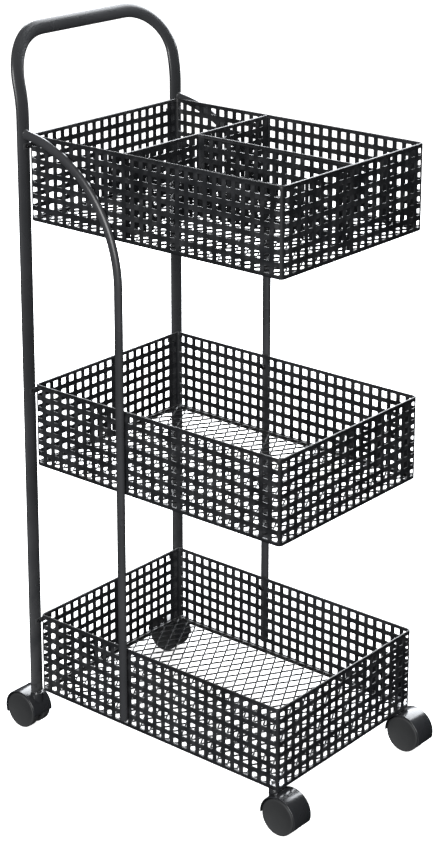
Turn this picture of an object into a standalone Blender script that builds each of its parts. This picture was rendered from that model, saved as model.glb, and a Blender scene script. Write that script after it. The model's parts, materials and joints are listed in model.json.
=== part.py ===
"""Rolling pantry cart: three punched-sheet baskets on a bent oval-tube frame with four twin-wheel casters.

Metres, +Z up. The floor is z = 0, +X runs from the handle end to the free end, and +Y to the pusher's left.
The origin is the middle of the cart's overall length and width, so the baskets' middle sits at BASKET_X.
"""

import math

import bmesh
import bpy
from mathutils import Vector

GAP = 0.0003  # clearance between pieces that touch

# Baskets
BASKET_LENGTH = 0.400
BASKET_WIDTH = 0.2782
BASKET_HEIGHT = 0.1104
BASKET_CORNER = 0.006
SHEET = 0.001
HEM_WIDTH = 0.003
HEM_HEIGHT = 0.004
FLANGE_REACH = 0.003
FLANGE_THICK = 0.0013
MESH_THICK = 0.0012
BOTTOM_BASKET_Z = 0.053
LOWER_PITCH = 0.3210
UPPER_PITCH = 0.3270
BASKET_LEVELS = {
    "bottom": BOTTOM_BASKET_Z,
    "middle": BOTTOM_BASKET_Z + LOWER_PITCH,
    "top": BOTTOM_BASKET_Z + LOWER_PITCH + UPPER_PITCH,
}
RIM_Z = BASKET_LEVELS["top"] + BASKET_HEIGHT
HOLES_LONG = 28  # holes punched along a long wall
DIVIDER_HOLE = 11  # the cross divider stands on this bar, counted from the handle end

# Handle frame: one oval tube bent into both posts and the handle
POST_WIDE = 0.020  # across the cart
POST_THIN = 0.010  # along the cart
POST_X = -BASKET_LENGTH / 2 - GAP - POST_THIN / 2
POST_Y = 0.1430
HANDLE_SWEEP_START = 0.0187  # height over the top rim where the handle starts to curve back
HANDLE_SWEEP_RADIUS = 0.185
HANDLE_SWEEP_LENGTH = 0.1095
HANDLE_CORNER = 0.0678
PLUG_HEIGHT = 0.012

# Side bars
BAR_WIDE = 0.012  # in the plane of the bend
BAR_THIN = 0.009  # across the cart
BAR_X = -0.0480
BAR_Y = 0.1440  # just clear of the baskets
BAR_RADIUS = 0.172
BAR_TOP_RISE = 0.0015  # the arc's crown over the top rim
BAR_START_SLOPE = 0.11  # the arc already falls this much where it leaves the post
BAR_FOOT_Z = BOTTOM_BASKET_Z + 0.010
BAR_SCREW_DROP = {"top": 0.0931, "middle": 0.0173, "bottom": 0.0173}  # from the rim to the screw

# Casters
WHEEL_RADIUS = 0.024
WHEEL_INNER = 0.0050  # from the caster's middle plane to the wheel's inner face
WHEEL_OUTER = 0.0162
HOOD_RADIUS = 0.027
HOOD_THICK = 0.0016
HOOD_HALF_WIDTH = 0.0165
HOOD_FRONT_DROP = math.radians(22)  # how far the hood reaches under the axle's level ahead
HOOD_BACK_DROP = math.radians(3)
WEB_THICK = 0.0090
HUB_RADIUS = 0.0065
TRAIL = 0.0160
NECK_RADIUS = 0.0080
COLLAR_RADIUS = 0.0065
COLLAR_THICK = 0.0018
NECK_TOP = BOTTOM_BASKET_Z - COLLAR_THICK - 2 * GAP
AXLE_RADIUS = 0.0025
AXLE_HALF = 0.0140
JOURNAL_RADIUS = 0.0028
JOURNAL_LOW = 0.0350
THREAD_RADIUS = 0.0030
THREAD_TOP = 0.0655
FRONT_STEM = (0.1892, 0.1306)  # from the baskets' middle

# Fasteners
SCREW_RADIUS = 0.0020
SCREW_HEAD_RADIUS = 0.0036
SCREW_HEAD_THICK = 0.0020
LUG_THICK = 0.0010
LUG_HEIGHT = 0.0075
LUG_DROP = {"top": 0.0105, "middle": 0.0043, "bottom": 0.0043}  # from the rim to the lug's top edge
NUT_RADIUS = 0.0055
NUT_THICK = 0.0050
PLATE_SIZE = 0.016
PLATE_THICK = 0.0020

# The cart's overall length runs from the rear hoods to the front hoods
REAR_REACH = POST_X - TRAIL - HOOD_RADIUS
FRONT_REACH = FRONT_STEM[0] + TRAIL + HOOD_RADIUS
BASKET_X = -(REAR_REACH + FRONT_REACH) / 2

for old in list(bpy.data.objects):
    bpy.data.objects.remove(old, do_unlink=True)

cart = bpy.data.collections.new("rolling_pantry_cart")
cutters = bpy.data.collections.new("cutters_and_profiles")
bpy.context.scene.collection.children.link(cart)
bpy.context.scene.collection.children.link(cutters)


def make_material(name, colour, roughness, metallic):
    material = bpy.data.materials.new(name)
    material.use_nodes = True
    shader = material.node_tree.nodes["Principled BSDF"]
    shader.inputs["Base Color"].default_value = (*colour, 1.0)
    shader.inputs["Roughness"].default_value = roughness
    shader.inputs["Metallic"].default_value = metallic
    material.diffuse_color = (*colour, 1.0)
    return material


FINISHES = {
    "powder_coat": ((0.030, 0.031, 0.034), 0.48, 0.0),
    "sheet_coat": ((0.024, 0.025, 0.028), 0.50, 0.0),
    "caster_plastic": ((0.045, 0.046, 0.049), 0.42, 0.0),
    "wheel_plastic": ((0.038, 0.039, 0.042), 0.55, 0.0),
    "zinc_steel": ((0.60, 0.61, 0.63), 0.30, 1.0),
    "black_screw": ((0.035, 0.035, 0.038), 0.35, 0.6),
}


def finish(obj, kind):
    """Give an object its own material of one of the finishes."""
    colour, roughness, metallic = FINISHES[kind]
    material = make_material(f"{obj.name}_{kind}", colour, roughness, metallic)
    obj.data.materials.clear()
    obj.data.materials.append(material)
    return obj


origin = bpy.data.objects.new("baskets_middle", None)
origin.location = (BASKET_X, 0.0, 0.0)
cart.objects.link(origin)


def add(name, data, kind, location=(0.0, 0.0, 0.0), rotation=(0.0, 0.0, 0.0), parent=origin):
    """Put mesh or curve data into the cart as a named sub-part."""
    obj = bpy.data.objects.new(name, data)
    obj.location = location
    obj.rotation_euler = rotation
    obj.parent = parent
    cart.objects.link(obj)
    return finish(obj, kind)


def add_cutter(name, data, location=(0.0, 0.0, 0.0), rotation=(0.0, 0.0, 0.0), parent=origin):
    """Put a cutter or a tube's section into the hidden collection."""
    obj = bpy.data.objects.new(name, data)
    obj.location = location
    obj.rotation_euler = rotation
    obj.parent = parent
    obj.hide_render = True
    obj.display_type = "WIRE"
    cutters.objects.link(obj)
    return obj


def boolean(obj, other, operation="DIFFERENCE"):
    modifier = obj.modifiers.new(f"{operation.lower()}_{other.name}", "BOOLEAN")
    modifier.object = other
    modifier.operation = operation
    modifier.solver = "EXACT"
    return obj


def cylinder_mesh(name, radius, low, high, segments=24):
    """A solid cylinder along Z between two heights."""
    mesh = bpy.data.meshes.new(name)
    bm = bmesh.new()
    bmesh.ops.create_cone(
        bm, cap_ends=True, segments=segments, radius1=radius, radius2=radius, depth=high - low
    )
    bmesh.ops.translate(bm, verts=bm.verts, vec=(0.0, 0.0, (high + low) / 2))
    bm.to_mesh(mesh)
    bm.free()
    return mesh


def box_mesh(name, size):
    """A box around its origin."""
    mesh = bpy.data.meshes.new(name)
    bm = bmesh.new()
    bmesh.ops.create_cube(bm, size=1.0)
    bmesh.ops.scale(bm, verts=bm.verts, vec=size)
    bm.to_mesh(mesh)
    bm.free()
    return mesh


def turned_mesh(name, profile):
    """The open half-section of a turned part, at +X, listed from top to bottom down its outer side."""
    mesh = bpy.data.meshes.new(name)
    bm = bmesh.new()
    corners = [bm.verts.new((radius, 0.0, height)) for radius, height in profile]
    for first, second in zip(corners, corners[1:]):
        bm.edges.new((first, second))
    bm.to_mesh(mesh)
    bm.free()
    return mesh


def turn(obj, steps=32):
    """Spin a half-section around the object's Z axis."""
    screw = obj.modifiers.new("turn", "SCREW")
    screw.steps = steps
    screw.render_steps = steps
    screw.use_merge_vertices = True
    screw.merge_threshold = 0.00001
    return obj


def ellipse_section(name, across, up, sides=16):
    """A closed oval section curve, to be swept along a tube's line."""
    curve = bpy.data.curves.new(name, "CURVE")
    curve.dimensions = "2D"
    spline = curve.splines.new("POLY")
    spline.points.add(sides - 1)
    for step, point in enumerate(spline.points):
        turn_angle = 2 * math.pi * step / sides
        point.co = (across / 2 * math.cos(turn_angle), up / 2 * math.sin(turn_angle), 0.0, 1.0)
    spline.use_cyclic_u = True
    return add_cutter(name, curve)


def sheet_section(name):
    """A basket wall's section: a thin sheet with a folded hem on top and a flange turned in below."""
    sheet = SHEET / 2
    hem = HEM_WIDTH / 2
    fold = hem - sheet
    top = BASKET_HEIGHT
    outline = [
        (hem, 0.0),
        (hem, HEM_HEIGHT - fold),
        (sheet, HEM_HEIGHT),
        (sheet, top - HEM_HEIGHT),
        (hem, top - HEM_HEIGHT + fold),
        (hem, top - fold / 2),
        (hem - fold / 2, top),
        (fold / 2 - hem, top),
        (-hem, top - fold / 2),
        (-hem, top - HEM_HEIGHT + fold),
        (-sheet, top - HEM_HEIGHT),
        (-sheet, FLANGE_THICK),
        (-FLANGE_REACH, FLANGE_THICK),
        (-FLANGE_REACH, 0.0),
    ]
    curve = bpy.data.curves.new(name, "CURVE")
    curve.dimensions = "2D"
    spline = curve.splines.new("POLY")
    spline.points.add(len(outline) - 1)
    for point, (outward, height) in zip(spline.points, reversed(outline)):
        point.co = (outward, height, 0.0, 1.0)
    spline.use_cyclic_u = True
    return add_cutter(name, curve)


def rounded_rectangle(half_x, half_y, corner, steps=4):
    """Corner points of a rounded rectangle, counter-clockwise."""
    points = []
    for quarter, (side_x, side_y) in enumerate(((1, 1), (-1, 1), (-1, -1), (1, -1))):
        centre = Vector((side_x * (half_x - corner), side_y * (half_y - corner), 0.0))
        for step in range(steps + 1):
            angle = math.pi / 2 * (quarter + step / steps)
            points.append(centre + corner * Vector((math.cos(angle), math.sin(angle), 0.0)))
    return points


def path_curve(name, points, section, cyclic=False, twist="MINIMUM"):
    """A line of points with a section swept along it."""
    curve = bpy.data.curves.new(name, "CURVE")
    curve.dimensions = "3D"
    curve.twist_mode = twist
    curve.bevel_mode = "OBJECT"
    curve.bevel_object = section
    curve.use_fill_caps = not cyclic
    curve.render_resolution_u = 0
    spline = curve.splines.new("POLY")
    spline.points.add(len(points) - 1)
    for point, place in zip(spline.points, points):
        point.co = (*place, 1.0)
    spline.use_cyclic_u = cyclic
    return curve


def plate_curve(name, outline, thickness):
    """A flat plate with the outline of a closed line of points, centred on its own plane."""
    curve = bpy.data.curves.new(name, "CURVE")
    curve.dimensions = "2D"
    curve.fill_mode = "BOTH"
    curve.extrude = thickness / 2
    curve.render_resolution_u = 0
    spline = curve.splines.new("POLY")
    spline.points.add(len(outline) - 1)
    for point, place in zip(spline.points, outline):
        point.co = (place[0], place[1], 0.0, 1.0)
    spline.use_cyclic_u = True
    return curve


def solid_copy(name, curve):
    """A curve turned into a mesh with its seams joined, ready to be cut."""
    holder = bpy.data.objects.new(f"{name}_curve", curve)
    cutters.objects.link(holder)
    bpy.context.view_layer.update()
    evaluated = holder.evaluated_get(bpy.context.evaluated_depsgraph_get())
    mesh = bpy.data.meshes.new_from_object(evaluated)
    mesh.name = name
    bpy.data.objects.remove(holder, do_unlink=True)
    bm = bmesh.new()
    bm.from_mesh(mesh)
    bmesh.ops.remove_doubles(bm, verts=bm.verts, dist=0.00001)
    bmesh.ops.recalc_face_normals(bm, faces=bm.faces)
    bm.to_mesh(mesh)
    bm.free()
    return mesh


# ---------------------------------------------------------------- baskets


def make_baskets():
    section = sheet_section("wall_section")
    half_x = BASKET_LENGTH / 2 - HEM_WIDTH / 2
    half_y = BASKET_WIDTH / 2 - HEM_WIDTH / 2
    corner = BASKET_CORNER - HEM_WIDTH / 2
    line = rounded_rectangle(half_x, half_y, corner)
    inset = SHEET / 2 + GAP
    floor_outline = rounded_rectangle(half_x - inset, half_y - inset, corner - inset)
    for level, height in BASKET_LEVELS.items():
        name = f"{level}_basket_wall"
        mesh = solid_copy(name, path_curve("wall_line", line, section, cyclic=True, twist="Z_UP"))
        wall = add(name, mesh, "sheet_coat", (0.0, 0.0, height))
        for other, side_name, side, screw_x, screw_z in bar_screw_places():
            if other == level:
                hole = cylinder_mesh("wall_hole", SCREW_RADIUS + GAP, -0.005, 0.005, 12)
                place = (screw_x, side * half_y, screw_z)
                cutter = add_cutter(f"{level}_{side_name}_wall_hole", hole, place, (math.pi / 2, 0.0, 0.0))
                boolean(wall, cutter)
        floor = solid_copy(f"{level}_basket_floor", plate_curve("floor_outline", floor_outline, MESH_THICK))
        floor_z = height + FLANGE_THICK + GAP + MESH_THICK / 2
        obj = add(f"{level}_basket_floor", floor, "sheet_coat", (0.0, 0.0, floor_z))
        if level == "bottom":
            for side in (-1, 1):
                hole = cylinder_mesh("stem_hole", THREAD_RADIUS + GAP, -0.005, 0.005)
                place = (FRONT_STEM[0], side * FRONT_STEM[1], floor_z)
                boolean(obj, add_cutter(f"stem_hole_{side}", hole, place))


def make_dividers():
    """The top basket's two punched dividers: one across it, one from there to the free end."""
    cross_x = -BASKET_LENGTH / 2 + DIVIDER_HOLE * BASKET_LENGTH / HOLES_LONG
    inner_y = BASKET_WIDTH / 2 - HEM_WIDTH - GAP
    inner_x = BASKET_LENGTH / 2 - HEM_WIDTH - GAP
    floor_top = BASKET_LEVELS["top"] + FLANGE_THICK + GAP + MESH_THICK
    low = floor_top + GAP
    high = RIM_Z - 0.0005
    size = (SHEET, 2 * inner_y, high - low)
    mesh = box_mesh("cross_divider", size)
    add("cross_divider", mesh, "sheet_coat", (cross_x, 0.0, (high + low) / 2))
    start = cross_x + SHEET / 2 + GAP
    size = (inner_x - start, SHEET, high - low)
    mesh = box_mesh("lengthwise_divider", size)
    add("lengthwise_divider", mesh, "sheet_coat", ((inner_x + start) / 2, 0.0, (high + low) / 2))


# ---------------------------------------------------------------- frame


def swept_back(side_y, travel):
    """A point of the handle: straight up to the sweep's start, then back along an arc."""
    if travel <= 0:
        return Vector((POST_X, side_y, RIM_Z + HANDLE_SWEEP_START + travel))
    angle = travel / HANDLE_SWEEP_RADIUS
    back = HANDLE_SWEEP_RADIUS * (1 - math.cos(angle))
    rise = HANDLE_SWEEP_RADIUS * math.sin(angle)
    return Vector((POST_X - back, side_y, RIM_Z + HANDLE_SWEEP_START + rise))


def handle_line():
    """The tube's middle line, from the right post's foot over the handle to the left post's foot."""
    foot = BOTTOM_BASKET_Z + PLUG_HEIGHT + GAP - RIM_Z - HANDLE_SWEEP_START
    bend_low = HANDLE_SWEEP_LENGTH - HANDLE_CORNER
    half = [(POST_Y, foot), (POST_Y, 0.0), (POST_Y, bend_low / 2)]
    steps = 8
    for step in range(steps + 1):
        angle = math.pi / 2 * step / steps
        across = POST_Y - HANDLE_CORNER * (1 - math.cos(angle))
        travel = bend_low + HANDLE_CORNER * math.sin(angle)
        half.append((across, travel))
    right = [swept_back(-across, travel) for across, travel in half]
    left = [swept_back(across, travel) for across, travel in reversed(half)]
    return right + left


def post_screw_places():
    """Height and side of each screw that holds a basket's lug to a post."""
    for level, height in BASKET_LEVELS.items():
        for side_name, side in (("right", -1), ("left", 1)):
            yield level, side_name, side, height + BASKET_HEIGHT - LUG_DROP[level] - LUG_HEIGHT / 2


def bar_x_at(height):
    """Where a side bar's middle line passes at a height: on its arc, or below it on the straight part."""
    over = height - (RIM_Z + BAR_TOP_RISE - BAR_RADIUS)
    if over <= 0:
        return BAR_X
    return BAR_X - BAR_RADIUS + math.sqrt(BAR_RADIUS**2 - over**2)


def bar_screw_places():
    """Side and place of each screw that holds a basket's long wall to a side bar."""
    for level, base in BASKET_LEVELS.items():
        height = base + BASKET_HEIGHT - BAR_SCREW_DROP[level]
        for side_name, side in (("right", -1), ("left", 1)):
            yield level, side_name, side, bar_x_at(height), height


def make_frame():
    section = ellipse_section("post_section", POST_THIN, POST_WIDE)
    mesh = solid_copy("handle_frame", path_curve("handle_line", handle_line(), section))
    frame = add("handle_frame", mesh, "powder_coat")
    for side in (-1, 1):
        bore = cylinder_mesh("post_bore", THREAD_RADIUS + GAP, -0.001, 0.004)
        place = (POST_X, side * POST_Y, BOTTOM_BASKET_Z + PLUG_HEIGHT)
        boolean(frame, add_cutter(f"post_bore_{side}", bore, place))
    for level, side_name, side, height in post_screw_places():
        hole = cylinder_mesh("screw_hole", SCREW_RADIUS + GAP, -0.02, 0.02, 12)
        place = (POST_X, side * POST_Y, height)
        boolean(frame, add_cutter(f"{level}_{side_name}_post_hole", hole, place, (0.0, math.pi / 2, 0.0)))


def side_bar_line():
    """The bar's middle line in its own X-Z plane, from the post round the arc and down to the foot."""
    centre_x = BAR_X - BAR_RADIUS
    crown = RIM_Z + BAR_TOP_RISE
    centre_z = crown - BAR_RADIUS
    start_x = POST_X + POST_THIN / 2 + GAP + BAR_WIDE / 2 * BAR_START_SLOPE
    start = math.acos((start_x - centre_x) / BAR_RADIUS)
    steps = 14
    points = []
    for step in range(steps + 1):
        angle = start * (1 - step / steps)
        points.append(
            Vector((centre_x + BAR_RADIUS * math.cos(angle), 0.0, centre_z + BAR_RADIUS * math.sin(angle)))
        )
    points.append(Vector((BAR_X, 0.0, BAR_FOOT_Z)))
    return points


def make_side_bars():
    section = ellipse_section("bar_section", BAR_THIN, BAR_WIDE, 12)
    line = side_bar_line()
    for side_name, side in (("right", -1), ("left", 1)):
        mesh = solid_copy(f"{side_name}_side_bar", path_curve("bar_line", line, section))
        bar = add(f"{side_name}_side_bar", mesh, "powder_coat", (0.0, side * BAR_Y, 0.0))
        for level, other_name, other, screw_x, screw_z in bar_screw_places():
            if other == side:
                hole = cylinder_mesh("screw_hole", SCREW_RADIUS + GAP, -0.02, 0.02, 12)
                place = (screw_x, side * BAR_Y, screw_z)
                cutter = add_cutter(f"{level}_{side_name}_bar_hole", hole, place, (math.pi / 2, 0.0, 0.0))
                boolean(bar, cutter)


# ---------------------------------------------------------------- fixings


def make_screw(name, place, rotation, length):
    """A pan-head screw lying along its own +Z, its head at the origin's far side."""
    profile = [
        (0.0, SCREW_HEAD_THICK),
        (SCREW_HEAD_RADIUS * 0.6, SCREW_HEAD_THICK * 0.95),
        (SCREW_HEAD_RADIUS * 0.9, SCREW_HEAD_THICK * 0.6),
        (SCREW_HEAD_RADIUS, 0.0),
        (SCREW_RADIUS, 0.0),
        (SCREW_RADIUS, -length),
        (0.0, -length),
    ]
    turn(add(name, turned_mesh(name, profile), "black_screw", place, rotation), 16)


def make_post_lugs():
    """Small lugs under each rim that tie the basket's end wall to the posts, and the screws through both."""
    sheet_face = -BASKET_LENGTH / 2 + (HEM_WIDTH - SHEET) / 2
    lug_x = (sheet_face + POST_X + POST_THIN / 2) / 2
    inner_y = 0.118
    outer_y = POST_Y + 0.005
    for level, side_name, side, height in post_screw_places():
        name = f"{level}_{side_name}_post_lug"
        size = (LUG_THICK - GAP, outer_y - inner_y, LUG_HEIGHT)
        lug = add(name, box_mesh(name, size), "sheet_coat", (lug_x, side * (outer_y + inner_y) / 2, height))
        hole = cylinder_mesh("lug_hole", SCREW_RADIUS + GAP, -0.005, 0.005, 12)
        place = (lug_x, side * POST_Y, height)
        boolean(lug, add_cutter(f"{name}_hole", hole, place, (0.0, math.pi / 2, 0.0)))
        head = (POST_X - POST_THIN / 2 - GAP, side * POST_Y, height)
        length = POST_THIN + LUG_THICK + 4 * GAP + 0.002
        make_screw(f"{level}_{side_name}_post_screw", head, (0.0, -math.pi / 2, 0.0), length)


def make_bar_screws():
    """Screws from inside each basket through its long wall into the side bars."""
    inner_face = BASKET_WIDTH / 2 - (HEM_WIDTH + SHEET) / 2
    for level, side_name, side, screw_x, screw_z in bar_screw_places():
        name = f"{level}_{side_name}_bar_screw"
        place = (screw_x, side * (inner_face - GAP), screw_z)
        length = HEM_WIDTH + 0.006
        make_screw(name, place, (side * math.pi / 2, 0.0, 0.0), length)


def make_caster_seats():
    """What each caster's stem is fastened in: a plate and nut in front, a plug in the post's foot behind."""
    plate_z = BOTTOM_BASKET_Z + FLANGE_THICK + MESH_THICK + 2 * GAP + PLATE_THICK / 2
    wall_inside = HEM_WIDTH / 2 + SHEET / 2 + GAP
    plate_corner = BASKET_CORNER - wall_inside
    for side_name, side in (("right", -1), ("left", 1)):
        name = f"front_{side_name}_caster_plate"
        inset = wall_inside + PLATE_SIZE / 2
        centre_x = BASKET_LENGTH / 2 - inset
        centre_y = side * (BASKET_WIDTH / 2 - inset)
        outline = rounded_rectangle(PLATE_SIZE / 2, PLATE_SIZE / 2, plate_corner)
        mesh = solid_copy(name, plate_curve("plate_outline", outline, PLATE_THICK))
        plate = add(name, mesh, "zinc_steel", (centre_x, centre_y, plate_z))
        hole = cylinder_mesh("plate_hole", THREAD_RADIUS + GAP, -0.005, 0.005)
        place = (FRONT_STEM[0], side * FRONT_STEM[1], plate_z)
        boolean(plate, add_cutter(f"{name}_hole", hole, place))
        nut_z = plate_z + PLATE_THICK / 2 + GAP
        name = f"front_{side_name}_caster_nut"
        place = (FRONT_STEM[0], side * FRONT_STEM[1], nut_z)
        nut = add(name, cylinder_mesh(name, NUT_RADIUS, 0.0, NUT_THICK, 6), "zinc_steel", place)
        hole = cylinder_mesh("nut_hole", THREAD_RADIUS + GAP, -0.001, NUT_THICK + 0.001)
        boolean(nut, add_cutter(f"{name}_hole", hole, place))
        name = f"rear_{side_name}_post_plug"
        outline = []
        for step in range(20):
            angle = 2 * math.pi * step / 20
            outline.append((POST_THIN / 2 * math.cos(angle), POST_WIDE / 2 * math.sin(angle)))
        mesh = solid_copy(name, plate_curve("plug_outline", outline, PLUG_HEIGHT))
        place = (POST_X, side * POST_Y, BOTTOM_BASKET_Z + PLUG_HEIGHT / 2)
        plug = add(name, mesh, "powder_coat", place)
        hole = cylinder_mesh("plug_hole", THREAD_RADIUS + GAP, -0.01, 0.01)
        boolean(plug, add_cutter(f"{name}_hole", hole, place))


# ---------------------------------------------------------------- casters


def hood_mesh(name):
    """The hood's open middle surface, an arc from the back lip over the wheels to the front lip."""
    middle_radius = HOOD_RADIUS - HOOD_THICK / 2
    steps = 16
    start = -HOOD_FRONT_DROP
    end = math.pi + HOOD_BACK_DROP
    mesh = bpy.data.meshes.new(name)
    bm = bmesh.new()
    line = []
    for step in range(steps + 1):
        angle = start + (end - start) * step / steps
        along = middle_radius * math.cos(angle)
        up = middle_radius * math.sin(angle)
        line.append(bm.verts.new((along, -HOOD_HALF_WIDTH, up)))
    edges = [bm.edges.new(pair) for pair in zip(line, line[1:])]
    swept = bmesh.ops.extrude_edge_only(bm, edges=edges)["geom"]
    far = [item for item in swept if isinstance(item, bmesh.types.BMVert)]
    bmesh.ops.translate(bm, verts=far, vec=(0.0, 2 * HOOD_HALF_WIDTH, 0.0))
    bm.to_mesh(mesh)
    bm.free()
    return mesh


def web_outline():
    """The web seen from the side, round the axle: under the hood from lip to lip, and round the hub below."""
    radius = HOOD_RADIUS - HOOD_THICK / 2
    start = -HOOD_FRONT_DROP
    end = math.pi + HOOD_BACK_DROP
    steps = 18
    points = []
    for step in range(steps + 1):
        angle = start + (end - start) * step / steps
        points.append((radius * math.cos(angle), radius * math.sin(angle)))
    steps = 6
    for step in range(steps + 1):
        angle = math.radians(220 + 100 * step / steps)
        points.append((HUB_RADIUS * math.cos(angle), HUB_RADIUS * math.sin(angle)))
    return points


def make_hood(name, swivel):
    """The moulded body in one piece: web between the wheels, hood over them and neck round the stem."""
    lying = (math.pi / 2, 0.0, 0.0)
    axle = (TRAIL, 0.0, WHEEL_RADIUS)
    mesh = solid_copy(name, plate_curve("web_outline", web_outline(), WEB_THICK))
    body = add(name, mesh, "caster_plastic", axle, lying, parent=swivel)
    shell = add_cutter(f"{name}_shell", hood_mesh(f"{name}_shell"), axle, parent=swivel)
    solidify = shell.modifiers.new("wall", "SOLIDIFY")
    solidify.thickness = HOOD_THICK
    solidify.offset = 0.0
    neck_low = WHEEL_RADIUS + HOOD_RADIUS / 3
    neck = cylinder_mesh(f"{name}_neck", NECK_RADIUS, neck_low, NECK_TOP, 32)
    neck_cutter = add_cutter(f"{name}_neck", neck, parent=swivel)
    for side in (-1, 1):
        pocket_radius = HOOD_RADIUS - HOOD_THICK - GAP
        low, high = sorted((side * WEB_THICK / 2, side * 2 * HOOD_HALF_WIDTH))
        pocket = cylinder_mesh("wheel_pocket", pocket_radius, low, high, 48)
        boolean(neck_cutter, add_cutter(f"{name}_pocket_{side}", pocket, axle, lying, parent=swivel))
    boolean(body, shell, "UNION")
    boolean(body, neck_cutter, "UNION")
    bore = cylinder_mesh("stem_bore", JOURNAL_RADIUS + GAP, JOURNAL_LOW - GAP, BOTTOM_BASKET_Z)
    boolean(body, add_cutter(f"{name}_stem_bore", bore, parent=swivel))
    hub_bore = cylinder_mesh("hub_bore", AXLE_RADIUS + GAP, -WEB_THICK, WEB_THICK)
    boolean(body, add_cutter(f"{name}_hub_bore", hub_bore, axle, lying, parent=swivel))


def make_caster(corner, place, heading):
    """A twin-wheel caster under one corner. Its swivel empty stands on the stem's axis."""
    swivel = bpy.data.objects.new(f"{corner}_caster_swivel", None)
    swivel.location = (*place, 0.0)
    swivel.rotation_euler = (0.0, 0.0, heading)
    swivel.parent = origin
    cart.objects.link(swivel)
    name = f"{corner}_caster_stem"
    collar_top = BOTTOM_BASKET_Z - GAP
    profile = [
        (0.0, THREAD_TOP),
        (THREAD_RADIUS - 0.0005, THREAD_TOP),
        (THREAD_RADIUS, THREAD_TOP - 0.0005),
        (THREAD_RADIUS, collar_top),
        (COLLAR_RADIUS, collar_top),
        (COLLAR_RADIUS, collar_top - COLLAR_THICK),
        (JOURNAL_RADIUS, collar_top - COLLAR_THICK),
        (JOURNAL_RADIUS, JOURNAL_LOW),
        (0.0, JOURNAL_LOW),
    ]
    turn(add(name, turned_mesh(name, profile), "zinc_steel", parent=swivel), 24)
    make_hood(f"{corner}_caster_hood", swivel)
    axle_place = (TRAIL, 0.0, WHEEL_RADIUS)
    name = f"{corner}_caster_axle"
    profile = [
        (0.0, AXLE_HALF),
        (AXLE_RADIUS, AXLE_HALF),
        (AXLE_RADIUS, -AXLE_HALF),
        (0.0, -AXLE_HALF),
    ]
    lying = (math.pi / 2, 0.0, 0.0)
    turn(add(name, turned_mesh(name, profile), "zinc_steel", axle_place, lying, parent=swivel), 20)
    profile = [
        (0.0, WHEEL_OUTER),
        (WHEEL_RADIUS - 0.0012, WHEEL_OUTER),
        (WHEEL_RADIUS, WHEEL_OUTER - 0.0012),
        (WHEEL_RADIUS, WHEEL_INNER + 0.0012),
        (WHEEL_RADIUS - 0.0012, WHEEL_INNER),
        (AXLE_RADIUS + GAP, WHEEL_INNER),
        (AXLE_RADIUS + GAP, AXLE_HALF + GAP),
        (0.0, AXLE_HALF + GAP),
    ]
    outward = 1 if place[1] * math.cos(heading) > 0 else -1
    for wheel_name, facing in (("outer_wheel", outward), ("inner_wheel", -outward)):
        name = f"{corner}_caster_{wheel_name}"
        mesh = turned_mesh(name, profile)
        upright = (-facing * math.pi / 2, 0.0, 0.0)
        turn(add(name, mesh, "wheel_plastic", axle_place, upright, swivel), 40)


def make_casters():
    for side_name, side in (("right", -1), ("left", 1)):
        make_caster(f"front_{side_name}", (FRONT_STEM[0], side * FRONT_STEM[1]), 0.0)
        make_caster(f"rear_{side_name}", (POST_X, side * POST_Y), math.pi)


make_baskets()
make_dividers()
make_frame()
make_side_bars()
make_post_lugs()
make_bar_screws()
make_caster_seats()
make_casters()
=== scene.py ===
"""Looks of the rolling pantry cart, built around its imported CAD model.

Metres, in the CAD's own frame: X runs along the cart away from the handle, Y across it and Z up.
"""

import json
import math

import bmesh
import bpy
from mathutils import Matrix, Vector, noise


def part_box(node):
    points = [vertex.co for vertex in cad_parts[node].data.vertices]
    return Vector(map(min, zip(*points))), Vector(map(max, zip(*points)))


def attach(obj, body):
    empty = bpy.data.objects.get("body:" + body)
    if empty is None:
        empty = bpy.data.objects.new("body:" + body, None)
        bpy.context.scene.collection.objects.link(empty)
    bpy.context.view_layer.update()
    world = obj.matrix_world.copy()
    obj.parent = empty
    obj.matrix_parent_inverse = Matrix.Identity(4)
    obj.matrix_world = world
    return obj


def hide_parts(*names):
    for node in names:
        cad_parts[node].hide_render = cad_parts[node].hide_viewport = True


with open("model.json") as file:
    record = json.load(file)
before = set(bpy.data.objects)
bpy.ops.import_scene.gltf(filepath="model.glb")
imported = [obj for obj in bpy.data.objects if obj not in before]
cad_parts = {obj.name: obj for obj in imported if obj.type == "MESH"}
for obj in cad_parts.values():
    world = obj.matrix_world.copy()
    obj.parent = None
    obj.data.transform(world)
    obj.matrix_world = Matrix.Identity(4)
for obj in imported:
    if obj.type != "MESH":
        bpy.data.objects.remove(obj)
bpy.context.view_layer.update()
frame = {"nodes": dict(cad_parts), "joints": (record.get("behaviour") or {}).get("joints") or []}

LEVELS = ("top", "middle", "bottom")
SIDES = (("right", -1), ("left", 1))
JOINTS = {joint["name"]: joint for joint in frame["joints"]}
ACROSS = Vector((0, 1, 0))
SAME_POINT = 0.000001  # points closer than this are one point

# Camera: where it stands and looks, and its lens on a sensor, both in millimetres
CAMERA_PLACE = Vector((1.6059, -1.9202, 1.4011))
CAMERA_AZIMUTH = 39.96  # degrees
CAMERA_ELEVATION = 15.25  # degrees
CAMERA_LENS = 89.68
CAMERA_SENSOR = 36.0
CAMERA_SHIFT_Y = -0.25
CAMERA_NEAREST = 0.05
CAMERA_FARTHEST = 200.0

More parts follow.
